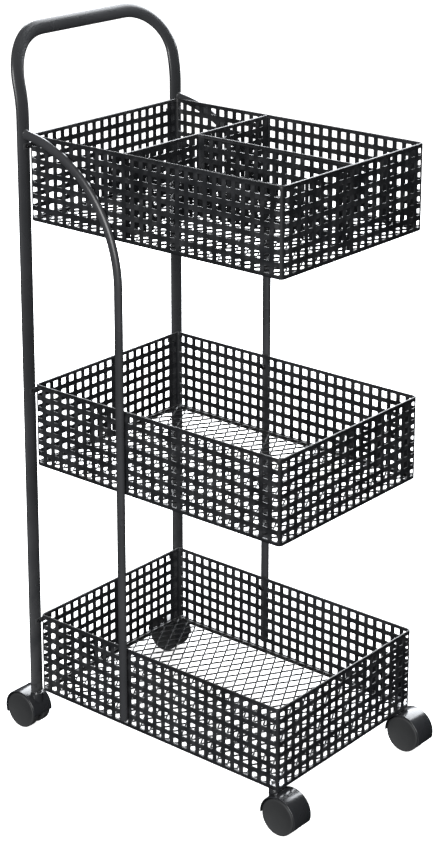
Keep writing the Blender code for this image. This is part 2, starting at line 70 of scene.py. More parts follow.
# Punched sheet
SHEET = 0.0010
SHEET_OUTWARD = 0.0008  # the sheet's middle plane stands this far outside the middle of the CAD rim
HOLES_LONG = 28
HOLES_SHORT = 19
HOLE_ROWS = 7
HOLE_ROW_PITCH = 0.01516
OPEN_SHARE = 0.580  # a hole's width over its pitch
HOLE_CORNER = 0.0008
CORNER_PARTS = 5  # a hole beside the basket's corner has its edge split in this many, to bend with it
RIM_WIDTH = 0.0030
RIM_CORNER = 0.0045
HEM_RADIUS = 0.0009
HEM_DEPTH = 0.0040
HEM_STEPS = 6
FLANGE_RADIUS = 0.0010
FLANGE_REACH = 0.0050
FLANGE_STEPS = 4

# Dividers: CAD node, the axis it runs along (0 is X, 1 is Y) and the holes along it
DIVIDERS = (("cross_divider", 1, HOLES_SHORT - 1), ("lengthwise_divider", 0, 16))
DIVIDER_HEM_RADIUS = 0.0008
DIVIDER_HEM_DEPTH = 0.0032
DIVIDER_LIFT = 0.0012  # from the CAD divider's lower edge to the punched one's

# Diamond mesh floors
DIAMOND_X = 0.0161
DIAMOND_Y = 0.0287
STRAND_SPREAD = 0.0016  # a strand's width seen from above, before its thickness
STRAND_THICK = 0.0014
STRAND_RISE = 0.00110  # how far a strand's edges stand off the floor's middle plane
STRAND_LEAN = 4  # a strand has its full rise a quarter of the way from a diamond's middle to its end
STRAND_CUTS = 3
KNOT_MERGE = 0.0006  # points of the cut outline that are closer than this become one
OUTLINE_SIDES = 16
SPARE_KNOTS = 3  # the grid goes on this far past the outline before it is cut
FLOOR_GAP = 0.0004  # between the mesh and the wall's sheet
BORDER_WIDTH = 0.0024
BORDER_THICK = 0.0008
BORDER_OVERLAP = 0.0002
BORDER_CORNER_STEPS = 4

# Tubes
POST_WIDE = 0.020
POST_THIN = 0.010
POST_SIDES = 48
HANDLE_SWEEP_START = 0.0187  # the posts lean back in an arc from here, over the top basket's rim
HANDLE_SWEEP_RADIUS = 0.185
HANDLE_SWEEP_LENGTH = 0.1095  # along the arc, up to the middle of the handle
HANDLE_CORNER = 0.0678  # the radius in which a post turns into the handle
HANDLE_LEAD = 0.004  # the last point of the straight post lies this far below the sweep
HANDLE_SWEEP_STEPS = 8
HANDLE_CORNER_STEPS = 26
BAR_WIDE = 0.012
BAR_THIN = 0.009
BAR_SIDES = 40
BAR_RADIUS = 0.172  # of the arc in which a bar leaves its post
BAR_CROWN = 0.0015  # the top of that arc's circle, over the top basket's rim
BAR_STEPS = 48
BAR_IN_POST = 0.0008
BAR_END = 0.003  # the length of the bar's rounded lower end
DOME_STEPS = 5
DOME_TIP = 0.35  # the part of a step that is left open, and capped flat, at a dome's tip

# Weld bead where a side bar leaves its post
WELD_PLACE = 0.0012  # along the bar, from its start
WELD_RADIUS = 0.0006
WELD_STRETCH = 1.25  # its width along the bar over its height
WELD_RIPPLES = 14
WELD_RIPPLE_SHARE = 0.16
WELD_NOISE_SHARE = 0.10
WELD_NOISE_SCALE = 900
WELD_STEPS = 56
WELD_SIDES = 10

# Caster hoods
HOOD_RADIUS = 0.027
HOOD_THICK = 0.0016
HOOD_HALF_WIDTH = 0.0165
HOOD_FRONT_DROP = math.radians(22)  # from the axle's height down to the lip away from the stem
HOOD_BACK_DROP = math.radians(3)
HOOD_SOFT = 0.0009  # the radius of its outer edges
HOOD_SOFT_STEPS = 3
HOOD_STEPS = 60
LIP_TAPERS = (0.55, 0.15)  # how much of its thickness the hood loses at its lip and one step before
POCKET_GAP = 0.0002  # the neck's wheel pockets are smaller than the hood's inside by this
WEB_THICK = 0.0090
WEB_LIP_GAP = math.radians(2)  # the web stops this far short of the hood's lips
WEB_STEPS = 40
HUB_RADIUS = 0.0065
HUB_START = 215  # where the web's edge runs round the axle, and how far, in degrees
HUB_TURN = 110
HUB_STEPS = 12
NECK_RADIUS = 0.0080
NECK_FOOT = 0.009  # above the axle
NECK_SOFT = 0.0007  # the radius of its upper edge, and how far that edge's middle is drawn in
NECK_SOFT_HALFWAY = 0.0002
NECK_SEGMENTS = 64
TRAIL = 0.0160  # from the swivel's axis to the axle
STEM_BORE = 0.0031
STEM_BORE_LOW = 0.0347
STEM_BORE_HIGH = 0.06
AXLE_BORE = 0.0028
AXLE_BORE_REACH = 0.01
BORE_SEGMENTS = 32

# Wheels: places along the axle are measured from its middle
WHEEL_RADIUS = 0.024
WHEEL_INNER = 0.0050
WHEEL_OUTER = 0.0162
TREAD_SOFT = 0.0013
TREAD_CROWN = 0.00015
TREAD_STEPS = 4
FACE_RADIUS = 0.0205
FACE_EDGE_RADIUS = 0.0209
FACE_DISH = 0.0002
HOLLOW_DEPTH = 0.0020  # of the ring-shaped hollow in the inner face
HOLLOW_OUTSIDE = (0.0196, 0.0190)  # radius at the inner face and at the hollow's floor
HOLLOW_INSIDE = (0.0060, 0.0064)
WHEEL_BORE_END = 0.0143
WHEEL_SEGMENTS = 96

# Screws
SCREW_RADIUS = 0.0020
SCREW_POINT = 0.0006
SCREW_HEAD_RADIUS = 0.0036
SCREW_HEAD_THICK = 0.0020
HEAD_SIDE_SHARE = 0.28  # the part of the head's thickness that stands straight up
HEAD_STEPS = 7
HEAD_ROUNDING = 0.8  # powers under 1 make the head's crown fuller than a quarter of a circle
HEAD_FLATNESS = 0.55
SCREW_SEGMENTS = 32
WING_HALF_WIDTH = 0.0019  # of a wing of the driver's cross at its top, and below at its tip
WING_HALF_TIP = 0.0008
WING_THICK = 0.0008
WING_HEIGHT = 0.0024

# Studio
AIM = Vector((0, 0, 0.45))  # what the softbox faces
FLOOR_REACH = 40
FLOOR_DROP = 0.0002
FLOOR_COLOUR = (0.80, 0.80, 0.80, 1.0)
FLOOR_GLOW = 0.85
SUN_WAY = Vector((0.42, -0.9, 0.32))  # from the object towards the light
SUN_STRENGTH = 3.8
SUN_SOFTNESS = 40  # degrees
SOFTBOX_PLACE = Vector((-0.85, 1.93, 1.90))
SOFTBOX_SIZE = (2.9, 2.2)
SOFTBOX_POWER = 255
SOFTBOX_COLOUR = (0.93, 0.96, 1.0)
AROUND_COLOUR = (0.98, 0.99, 1.0, 1.0)
AROUND_STRENGTH = 0.45
WHITE = (1.0, 1.0, 1.0, 1.0)
# Colour of upward faces: partly dust, partly a painted highlight along the tops of the rims
DUST_AND_SHEEN_COLOUR = (0.26, 0.25, 0.24)


# ---------------------------------------------------------------- materials


def new_material(name):
    """A material with its node tree's links, its shader and a function that adds nodes."""
    material = bpy.data.materials.new(name)
    material.use_nodes = True
    tree = material.node_tree
    shader = tree.nodes["Principled BSDF"]

    def node(kind, **settings):
        made = tree.nodes.new(kind)
        for key, value in settings.items():
            if key in made.inputs:
                made.inputs[key].default_value = value
            else:
                setattr(made, key, value)
        return made

    return material, tree.links, shader, node


def noise_value(links, node, where, scale, detail=4.0, roughness=0.55):
    """A cloudy value; scale is about the number of clouds in a metre."""
    pattern = node("ShaderNodeTexNoise", Scale=scale, Detail=detail, Roughness=roughness)
    links.new(where, pattern.inputs["Vector"])
    return pattern.outputs["Fac"]


def mapped(links, node, value, given, wanted):
    """A value's given range, (low, high), brought to the wanted one and held there."""
    ramp = node("ShaderNodeMapRange")
    for key, number in zip(("From Min", "From Max", "To Min", "To Max"), (*given, *wanted)):
        ramp.inputs[key].default_value = number
    links.new(value, ramp.inputs["Value"])
    return ramp.outputs["Result"]


def mixed(links, node, factor, first, second):
    """One colour or the other by a factor; either may be a colour or another node's output."""
    mix = node("ShaderNodeMix", data_type="RGBA")
    links.new(factor, mix.inputs["Factor"])
    for socket, colour in ((mix.inputs[6], first), (mix.inputs[7], second)):
        if isinstance(colour, tuple):
            socket.default_value = (*colour, 1.0)
        else:
            links.new(colour, socket)
    return mix.outputs[2]


def multiplied(links, node, first, second):
    """The product of two nodes' outputs."""
    product = node("ShaderNodeMath", operation="MULTIPLY")
    links.new(first, product.inputs[0])
    links.new(second, product.inputs[1])
    return product.outputs["Value"]


def bumped(links, node, shader, height, strength, distance):
    """Give a shader a bump from a height value."""
    bump = node("ShaderNodeBump", Strength=strength, Distance=distance)
    links.new(height, bump.inputs["Height"])
    links.new(bump.outputs["Normal"], shader.inputs["Normal"])


def coat_material(name, dark, light, worn, rough, grain, bump_height, specular, dust_and_sheen_share):
    """Paint or moulded plastic: cloudy colour, a fine skin, rubbed edges, and upward faces made lighter,
    partly by dust and partly as a painted highlight that draws a light line along the rims.
    """
    material, links, shader, node = new_material(name)
    where = node("ShaderNodeTexCoord").outputs["Object"]
    geometry = node("ShaderNodeNewGeometry")
    clouds = noise_value(links, node, where, scale=9.0)
    mottle = noise_value(links, node, where, scale=160.0, detail=3.0)
    body = mixed(links, node, mapped(links, node, clouds, (0.35, 0.65), (0.0, 1.0)), dark, light)
    speckle = mapped(links, node, mottle, (0.62, 0.80), (0.0, 0.35))
    body = mixed(links, node, speckle, body, light)

    edge = mapped(links, node, geometry.outputs["Pointiness"], (0.53, 0.62), (0.0, 1.0))
    patches = noise_value(links, node, where, scale=45.0)
    rubbed = multiplied(links, node, edge, mapped(links, node, patches, (0.40, 0.62), (0.0, 0.8)))
    body = mixed(links, node, rubbed, body, worn)

    split = node("ShaderNodeSeparateXYZ")
    links.new(geometry.outputs["Normal"], split.inputs["Vector"])
    # Upward faces turn lighter: partly settled dust, partly a painted highlight that draws a light line along
    # the rims
    upward_dust_and_sheen = mapped(links, node, split.outputs["Z"], (0.55, 1.0), (0.0, dust_and_sheen_share))
    settled_dust_and_sheen = multiplied(links, node, upward_dust_and_sheen, mapped(links, node, mottle, (0.30, 0.65), (0.25, 1.0)))
    body = mixed(links, node, settled_dust_and_sheen, body, DUST_AND_SHEEN_COLOUR)
    links.new(body, shader.inputs["Base Color"])

    gloss = mapped(links, node, clouds, (0.3, 0.7), (rough - 0.05, rough + 0.06))
    links.new(gloss, shader.inputs["Roughness"])
    shader.inputs["Specular IOR Level"].default_value = specular
    skin = noise_value(links, node, where, scale=grain, detail=2.0, roughness=0.6)
    bumped(links, node, shader, skin, strength=0.55, distance=bump_height)
    return material


def metal_material(name, dark, light, rough, grain):
    """Plated or oxidised steel: a metal with a cloudy plate and faint drawing marks."""
    material, links, shader, node = new_material(name)
    where = node("ShaderNodeTexCoord").outputs["Object"]
    clouds = noise_value(links, node, where, scale=120.0)
    body = mixed(links, node, mapped(links, node, clouds, (0.35, 0.68), (0.0, 1.0)), dark, light)
    links.new(body, shader.inputs["Base Color"])
    shader.inputs["Metallic"].default_value = 1.0
    marks = noise_value(links, node, where, scale=grain, detail=3.0)
    gloss = mapped(links, node, marks, (0.3, 0.7), (rough - 0.07, rough + 0.10))
    links.new(gloss, shader.inputs["Roughness"])
    bumped(links, node, shader, marks, strength=0.35, distance=0.00004)
    return material


# Each material's share of lighter upward faces is partly dust and partly a painted highlight on the rims
MATERIALS = {
    "powder_coated_tube": coat_material(
        "powder_coated_tube",
        dark=(0.027, 0.028, 0.030), light=(0.036, 0.037, 0.040), worn=(0.080, 0.080, 0.082),
        rough=0.27, grain=1400.0, bump_height=0.00002, specular=0.45, dust_and_sheen_share=0.03,
    ),
    "punched_sheet": coat_material(
        "punched_sheet",
        dark=(0.0060, 0.0065, 0.0075), light=(0.009, 0.010, 0.012), worn=(0.045, 0.046, 0.049),
        rough=0.46, grain=1400.0, bump_height=0.00005, specular=0.42, dust_and_sheen_share=0.14,
    ),
    "floor_mesh": coat_material(
        "floor_mesh",
        dark=(0.012, 0.013, 0.014), light=(0.018, 0.019, 0.021), worn=(0.060, 0.061, 0.063),
        rough=0.50, grain=1400.0, bump_height=0.00005, specular=0.36, dust_and_sheen_share=0.10,
    ),
    "caster_plastic": coat_material(
        "caster_plastic",
        dark=(0.016, 0.017, 0.019), light=(0.022, 0.023, 0.025), worn=(0.060, 0.061, 0.063),
        rough=0.22, grain=1900.0, bump_height=0.00002, specular=0.50, dust_and_sheen_share=0.03,
    ),
    "wheel_plastic": coat_material(
        "wheel_plastic",
        dark=(0.024, 0.025, 0.026), light=(0.031, 0.032, 0.033), worn=(0.080, 0.079, 0.077),
        rough=0.52, grain=1200.0, bump_height=0.00005, specular=0.40, dust_and_sheen_share=0.04,
    ),
    "zinc_steel": metal_material(
        "zinc_steel", dark=(0.50, 0.51, 0.53), light=(0.68, 0.69, 0.70), rough=0.30, grain=900.0,
    ),
    "black_screws": metal_material(
        "black_screws", dark=(0.035, 0.035, 0.038), light=(0.075, 0.075, 0.080), rough=0.36, grain=700.0,
    ),
}


# ---------------------------------------------------------------- pieces


def in_scene(name, data):
    """A new object with a mesh, light or camera, put into the scene."""
    obj = bpy.data.objects.new(name, data)
    bpy.context.scene.collection.objects.link(obj)
    return obj


def shade(mesh, angle=35):
    """Smooth shading that keeps the edges sharper than an angle in degrees."""
    mesh.shade_smooth()
    mesh.set_sharp_from_angle(angle=math.radians(angle))
    return mesh


def piece(name, mesh, body, slot, nodes=(), matrix=None):
    """Put a mesh into the scene as a piece that rides on a body and stands for some CAD nodes."""
    obj = in_scene(name, mesh)
    if matrix is not None:
        obj.matrix_world = matrix
    if not mesh.materials:
        mesh.materials.append(MATERIALS[slot])
    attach(obj, body)
    if nodes:
        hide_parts(*nodes)


def keep_node(name, slot):
    """A CAD node that stays, with its material."""
    obj = frame["nodes"][name]
    obj.data.materials.clear()
    obj.data.materials.append(MATERIALS[slot])


def applied(name, obj):
    """The mesh of an object with its modifiers applied. The object is removed."""
    bpy.context.view_layer.update()
    evaluated = obj.evaluated_get(bpy.context.evaluated_depsgraph_get())
    mesh = bpy.data.meshes.new_from_object(evaluated)
    mesh.name = name
    bpy.data.objects.remove(obj, do_unlink=True)
    return mesh


def thickened(name, mesh, thickness, even):
    """A sheet given a thickness about its middle plane; even keeps it the same round bends."""
    sheet = in_scene(f"{name}_sheet", mesh)
    solid = sheet.modifiers.new("thickness", "SOLIDIFY")
    solid.thickness = thickness
    solid.offset = 0.0
    solid.use_even_offset = even
    return applied(name, sheet)


def combined(name, first, steps):
    """A mesh cut by or joined with other meshes, each step an operation and a mesh."""
    base = in_scene(f"{name}_base", first)
    tools = []
    for number, (operation, mesh) in enumerate(steps):
        tool = in_scene(f"{name}_tool_{number}", mesh)
        tools.append(tool)
        modifier = base.modifiers.new(f"step_{number}", "BOOLEAN")
        modifier.object = tool
        modifier.operation = operation
        modifier.solver = "EXACT"
    mesh = applied(name, base)
    for tool in tools:
        bpy.data.objects.remove(tool, do_unlink=True)
    bm = bmesh.new()
    bm.from_mesh(mesh)
    bmesh.ops.remove_doubles(bm, verts=bm.verts, dist=SAME_POINT)
    bm.to_mesh(mesh)
    bm.free()
    return mesh


def mesh_from(name, bm):
    """A mesh from a bmesh, its faces turned outwards. The bmesh is freed."""
    mesh = bpy.data.meshes.new(name)
    bmesh.ops.recalc_face_normals(bm, faces=bm.faces)
    bm.to_mesh(mesh)
    bm.free()
    return mesh


def rings_mesh(name, rings, closed_line=False):
    """A skin over a row of rings with the same count of points, capped at both ends unless it closes."""
    bm = bmesh.new()
    rows = [[bm.verts.new(point) for point in ring] for ring in rings]
    pairs = list(zip(rows, rows[1:]))
    if closed_line:
        pairs.append((rows[-1], rows[0]))
    for low, high in pairs:
        count = len(low)
        for index in range(count):
            after = (index + 1) % count
            bm.faces.new((low[index], low[after], high[after], high[index]))
    if not closed_line:
        bm.faces.new(rows[0])
        bm.faces.new(rows[-1])
    return mesh_from(name, bm)


def turned(name, profile, segments):
    """A turned solid around Z from (radius, height) pairs that start and end on the axis."""
    bm = bmesh.new()
    first = bm.verts.new((0.0, 0.0, profile[0][1]))
    last = bm.verts.new((0.0, 0.0, profile[-1][1]))
    rings = []
    for radius, height in profile[1:-1]:
        ring = []
        for step in range(segments):
            angle = 2 * math.pi * step / segments
            ring.append(bm.verts.new((radius * math.cos(angle), radius * math.sin(angle), height)))
        rings.append(ring)
    for index in range(segments):
        after = (index + 1) % segments
        bm.faces.new((first, rings[0][index], rings[0][after]))
        bm.faces.new((last, rings[-1][after], rings[-1][index]))
        for low, high in zip(rings, rings[1:]):
            bm.faces.new((low[index], high[index], high[after], low[after]))
    return mesh_from(name, bm)


def oval(wide, thin, sides):
    """Points of an oval as (side, lift) pairs."""
    points = []
    for step in range(sides):
        angle = 2 * math.pi * step / sides
        points.append((wide / 2 * math.cos(angle), thin / 2 * math.sin(angle)))
    return points


def swept(name, line, section, side, round_end=0.0):
    """A section swept along a line without twist. A rounded end closes over that length in a dome."""
    stations = []
    for index, point in enumerate(line):
        before = line[max(index - 1, 0)]
        after = line[min(index + 1, len(line) - 1)]
        tangent = (after - before).normalized()
        side = (side - side.dot(tangent) * tangent).normalized()
        stations.append((point, tangent, side, 1.0))
    if round_end:
        point, tangent, across, _ = stations[-1]
        for step in range(1, DOME_STEPS + 1):
            angle = math.pi / 2 * step / (DOME_STEPS + DOME_TIP)
            tip = point + tangent * round_end * math.sin(angle)
            stations.append((tip, tangent, across, math.cos(angle)))
    rings = []
    for point, tangent, across, size in stations:
        lift = tangent.cross(across)
        rings.append([point + (across * a + lift * b) * size for a, b in section])
    return rings_mesh(name, rings)


# ---------------------------------------------------------------- punched sheet


def hole_stations(start, pitch, count, end_parts):
    """Stations along a row of holes: (place, kind of the stretch that follows).

    end_parts splits the flat edge of the first and last hole.
    """
    half = OPEN_SHARE * pitch / 2
    flat = 2 * (half - HOLE_CORNER)
    stations = []
    for index in range(count):
        middle = start + pitch * (index + 0.5)
        stations.append((middle - half, "corner"))
        parts = end_parts if index in (0, count - 1) else 1
        for part in range(parts):
            stations.append((middle - half + HOLE_CORNER + flat * part / parts, "flat"))
        stations.append((middle + half - HOLE_CORNER, "corner"))
        stations.append((middle + half, "bar"))
    return stations


def punched_mesh(name, columns, rows, place, closed):
    """A sheet over columns and rows of stations, open where both run along a hole.

    A column is (place along, kind), a row is (outward, height, kind); the kind is that of the stretch
    that follows. place turns (along, outward, height) into a point. A closed sheet joins its ends.
    """
    bm = bmesh.new()
    made = {}

    def vertex_at(i, j):
        if (i, j) not in made:
            outward, height, _ = rows[j]
            made[i, j] = bm.verts.new(place(columns[i][0], outward, height))
        return made[i, j]

    def round_corner(i, after, j):
        """The face between a hole's corner and the arc that rounds it."""
        outer_i, inner_i = (i, after) if columns[i - 1][1] == "bar" else (after, i)
        outer_j, inner_j = (j, j + 1) if rows[j - 1][2] == "bar" else (j + 1, j)
        along, height = columns[inner_i][0], rows[inner_j][1]
        reach_along = columns[outer_i][0] - along
        reach_height = rows[outer_j][1] - height
        half = math.sqrt(0.5)
        arc = bm.verts.new(place(along + reach_along * half, rows[j][0], height + reach_height * half))
        sides = (vertex_at(outer_i, outer_j), vertex_at(inner_i, outer_j), arc, vertex_at(outer_i, inner_j))
        bm.faces.new(sides)

    for i in range(len(columns) if closed else len(columns) - 1):
        after = (i + 1) % len(columns)
        for j in range(len(rows) - 1):
            kinds = (columns[i][1], rows[j][2])
            if "bar" in kinds:
                bm.faces.new((
                    vertex_at(i, j), vertex_at(after, j), vertex_at(after, j + 1), vertex_at(i, j + 1),
                ))
            elif kinds == ("corner", "corner"):
                round_corner(i, after, j)
    return shade(thickened(name, mesh_from(name, bm), SHEET, even=True), 30)


def hole_rows(middle, outward):
    """The rows of stations of the punching about a middle height, from the lowest hole to the highest."""
    start = middle - HOLE_ROWS * HOLE_ROW_PITCH / 2
    stations = hole_stations(start, HOLE_ROW_PITCH, HOLE_ROWS, 1)
    return [(outward, height, kind) for height, kind in stations]


def folded_hem(outward, top, radius, depth):
    """Rows that fold the sheet's upper edge over inwards and down."""
    rows = []
    for step in range(HEM_STEPS + 1):
        angle = math.pi * step / HEM_STEPS
        rows.append((outward - radius + radius * math.cos(angle), top + radius * math.sin(angle), "bar"))
    rows.append((outward - 2 * radius, top - depth + radius, "bar"))
    return rows


def folded_flange(outward):
    """Rows that start inside the basket and fold up into the wall's lower edge."""
    rows = [(outward - FLANGE_REACH, SHEET / 2, "bar")]
    for step in range(FLANGE_STEPS + 1):
        angle = math.pi / 2 * step / FLANGE_STEPS
        rows.append((
            outward - FLANGE_RADIUS + FLANGE_RADIUS * math.sin(angle),
            SHEET / 2 + FLANGE_RADIUS - FLANGE_RADIUS * math.cos(angle),
            "bar",
        ))
    return rows


def wall_places(level):
    """The wall's path, a rounded rectangle run round once: its side lengths, its height and place."""
    low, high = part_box(f"{level}_basket_wall")
    middle = (low + high) / 2
    half_x = (high.x - low.x) / 2 - RIM_WIDTH / 2
    half_y = (high.y - low.y) / 2 - RIM_WIDTH / 2
    lengths = (2 * half_x, 2 * half_y, 2 * half_x, 2 * half_y)
    ways = (Vector((1, 0, 0)), Vector((0, 1, 0)), Vector((-1, 0, 0)), Vector((0, -1, 0)))
    starts = (
        Vector((middle.x - half_x, middle.y - half_y, 0)),
        Vector((middle.x + half_x, middle.y - half_y, 0)),
        Vector((middle.x + half_x, middle.y + half_y, 0)),
        Vector((middle.x - half_x, middle.y + half_y, 0)),
    )

    def place(along, outward, height):
        side = 0
        while side < 3 and along > lengths[side]:
            along -= lengths[side]
            side += 1
        way, start, length = ways[side], starts[side], lengths[side]
        normal = Vector((way.y, -way.x, 0))
        lift = Vector((0, 0, low.z + height))
        near = min(along, length - along)
        if near >= RIM_CORNER:
            return start + way * along + normal * outward + lift
        turn = math.pi / 4 * (1 - near / RIM_CORNER)
        back = -1 if along < length / 2 else 1
        corner = start + way * (RIM_CORNER if back < 0 else length - RIM_CORNER) - normal * RIM_CORNER
        towards = normal * math.cos(turn) + way * back * math.sin(turn)
        return corner + (RIM_CORNER + outward) * towards + lift

    return lengths, high.z - low.z, place


def wall_columns(lengths):
    """The columns of stations round the whole wall."""
    columns = []
    before = 0.0
    for side, length in enumerate(lengths):
        count = HOLES_SHORT if side % 2 else HOLES_LONG
        pitch = length / count
        edge = pitch / 2 - OPEN_SHARE * pitch / 2
        columns.append((before, "bar"))
        columns.append((before + edge / 2, "bar"))
        columns.extend(hole_stations(before, pitch, count, CORNER_PARTS))
        columns.append((before + length - edge / 2, "bar"))
        before += length
    return columns


def make_wall(level):
    """A basket's punched wall, its lower edge folded inwards and its upper edge folded over."""
    lengths, height, place = wall_places(level)
    rows = folded_flange(SHEET_OUTWARD)
    rows.extend(hole_rows(height / 2, SHEET_OUTWARD))
    rows.extend(folded_hem(SHEET_OUTWARD, height - SHEET / 2 - HEM_RADIUS, HEM_RADIUS, HEM_DEPTH))
    mesh = punched_mesh(f"{level}_punched_wall", wall_columns(lengths), rows, place, closed=True)
    piece(f"{level}_punched_wall", mesh, "cart", "punched_sheet", [f"{level}_basket_wall"])


def make_divider(name, axis, count):
    """A punched divider of the top basket, with a folded upper edge."""
    wall_low, wall_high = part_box("top_basket_wall")
    low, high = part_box(name)
    middle = (low + high) / 2
    length = high[axis] - low[axis]
    across = 1 - axis
    wall_length = wall_high[axis] - wall_low[axis] - RIM_WIDTH
    pitch = wall_length / (HOLES_SHORT if axis else HOLES_LONG)
    margin = (length - count * pitch) / 2

    def place(along, outward, height):
        point = Vector((0.0, 0.0, wall_low.z + height))
        point[axis] = low[axis] + along
        point[across] = middle[across] + outward
        return point

    columns = [(0.0, "bar"), *hole_stations(margin, pitch, count, 1), (length, "bar")]
    top = high.z - wall_low.z - SHEET / 2 - DIVIDER_HEM_RADIUS
    rows = [(0.0, low.z - wall_low.z + DIVIDER_LIFT, "bar")]
    rows.extend(hole_rows((wall_high.z - wall_low.z) / 2, 0.0))
    rows.extend(folded_hem(0.0, top, DIVIDER_HEM_RADIUS, DIVIDER_HEM_DEPTH))
    mesh = punched_mesh(f"punched_{name}", columns, rows, place, closed=False)
    piece(f"punched_{name}", mesh, "cart", "punched_sheet", [name])


# ---------------------------------------------------------------- mesh floors


def diamond_grid(middle, half_x, half_y):
    """Diamonds over a rounded rectangle, cut to its outline."""
    bm = bmesh.new()
    made = {}

    def knot(i, j):
        if (i, j) not in made:
            made[i, j] = bm.verts.new(middle + Vector((i * DIAMOND_X / 2, j * DIAMOND_Y / 2, 0)))
        return made[i, j]

    reach_i = int(half_x / (DIAMOND_X / 2)) + SPARE_KNOTS
    reach_j = int(half_y / (DIAMOND_Y / 2)) + SPARE_KNOTS
    for i in range(-reach_i, reach_i + 1):
        for j in range(-reach_j, reach_j + 1):
            if (i + j) % 2 == 0:
                bm.faces.new((knot(i - 1, j), knot(i, j - 1), knot(i + 1, j), knot(i, j + 1)))
    for step in range(OUTLINE_SIDES):
        angle = 2 * math.pi * step / OUTLINE_SIDES
        way = Vector((math.cos(angle), math.sin(angle), 0))
        straight = abs(way.x) * (half_x - RIM_CORNER) + abs(way.y) * (half_y - RIM_CORNER)
        geometry = bm.verts[:] + bm.edges[:] + bm.faces[:]
        bmesh.ops.bisect_plane(
            bm, geom=geometry, plane_co=middle + way * (straight + RIM_CORNER), plane_no=way,
            clear_outer=True, dist=SAME_POINT,
        )
    bmesh.ops.remove_doubles(bm, verts=bm.verts, dist=KNOT_MERGE)
    return bm


def open_diamonds(bm):
    """Turn a grid of diamonds into strands that lean as those of a slit and stretched sheet do."""
    bmesh.ops.subdivide_edges(bm, edges=bm.edges[:], cuts=STRAND_CUTS)
    openings = []
    for face in bm.faces:
        around = sum(edge.calc_length() for edge in face.edges)
        if 2 * face.calc_area() / around > STRAND_SPREAD:
            openings.append(face)
    bmesh.ops.inset_individual(bm, faces=openings, thickness=STRAND_SPREAD / 2, use_even_offset=True)
    for face in openings:
        centre = face.calc_center_median()
        for vert in face.verts:
            lean = STRAND_LEAN * (vert.co.x - centre.x) / (DIAMOND_X / 2)
            vert.co.z -= STRAND_RISE * max(-1.0, min(1.0, lean))
    bmesh.ops.delete(bm, geom=openings, context="FACES_ONLY")


def make_floor(level):
    """A basket's floor of expanded diamond mesh, with the strip round its edge."""
    low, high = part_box(f"{level}_basket_wall")
    middle = (low + high) / 2
    middle.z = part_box(f"{level}_basket_floor")[0].z + STRAND_RISE
    inset = RIM_WIDTH / 2 - SHEET_OUTWARD + SHEET / 2 + FLOOR_GAP
    half_x = (high.x - low.x) / 2 - inset
    half_y = (high.y - low.y) / 2 - inset
    bm = diamond_grid(middle, half_x, half_y)
    open_diamonds(bm)
    name = f"{level}_mesh_floor"
    mesh = shade(thickened(name, mesh_from(name, bm), STRAND_THICK, even=False), 40)
    piece(name, mesh, "cart", "floor_mesh", [f"{level}_basket_floor"])
    make_border(level, middle, half_x, half_y)


def make_border(level, middle, half_x, half_y):
    """The flat strip that the mesh's edge is welded under."""
    low = middle.z + STRAND_RISE - BORDER_OVERLAP
    high = low + BORDER_THICK
    up = Vector((0, 0, 1))
    rings = []
    for side_x, side_y, start in ((1, 1, 0), (-1, 1, 90), (-1, -1, 180), (1, -1, 270)):
        knee = Vector((
            middle.x + side_x * (half_x - RIM_CORNER), middle.y + side_y * (half_y - RIM_CORNER), 0,
        ))
        for step in range(BORDER_CORNER_STEPS + 1):
            angle = math.radians(start + 90 * step / BORDER_CORNER_STEPS)
            way = Vector((math.cos(angle), math.sin(angle), 0))
            outer = knee + way * RIM_CORNER
            inner = knee + way * (RIM_CORNER - BORDER_WIDTH)
            rings.append([outer + up * low, outer + up * high, inner + up * high, inner + up * low])
    mesh = shade(rings_mesh(f"{level}_floor_border", rings, closed_line=True), 30)
    piece(f"{level}_floor_border", mesh, "cart", "floor_mesh")


# ---------------------------------------------------------------- tubes


def handle_points():
    """The bent tube's middle line, from the right post's foot over the handle to the left post's foot."""
    low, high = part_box("handle_frame")
    post_x = high.x - POST_THIN / 2
    post_y = high.y - POST_WIDE / 2
    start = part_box("top_basket_wall")[1].z + HANDLE_SWEEP_START
    straight = HANDLE_SWEEP_LENGTH - HANDLE_CORNER

    def point(across, travel):
        """travel is the way along the tube from where its backward sweep starts."""
        if travel <= 0:
            return Vector((post_x, across, start + travel))
        angle = travel / HANDLE_SWEEP_RADIUS
        back = HANDLE_SWEEP_RADIUS * (1 - math.cos(angle))
        return Vector((post_x - back, across, start + HANDLE_SWEEP_RADIUS * math.sin(angle)))

    half = [(post_y, low.z - start), (post_y, (low.z - start) / 2), (post_y, -HANDLE_LEAD)]
    half.extend((post_y, straight * step / HANDLE_SWEEP_STEPS) for step in range(HANDLE_SWEEP_STEPS))
    for step in range(HANDLE_CORNER_STEPS + 1):
        angle = math.pi / 2 * step / HANDLE_CORNER_STEPS
        across = post_y - HANDLE_CORNER * (1 - math.cos(angle))
        half.append((across, straight + HANDLE_CORNER * math.sin(angle)))
    right = [point(-across, travel) for across, travel in half]
    left = [point(across, travel) for across, travel in reversed(half)]
    return right + left


def make_frame():
    """The oval tube bent into both posts and the handle."""
    section = oval(POST_WIDE, POST_THIN, POST_SIDES)
    mesh = shade(swept("bent_tube_frame", handle_points(), section, ACROSS))
    piece("bent_tube_frame", mesh, "cart", "powder_coated_tube", ["handle_frame"])


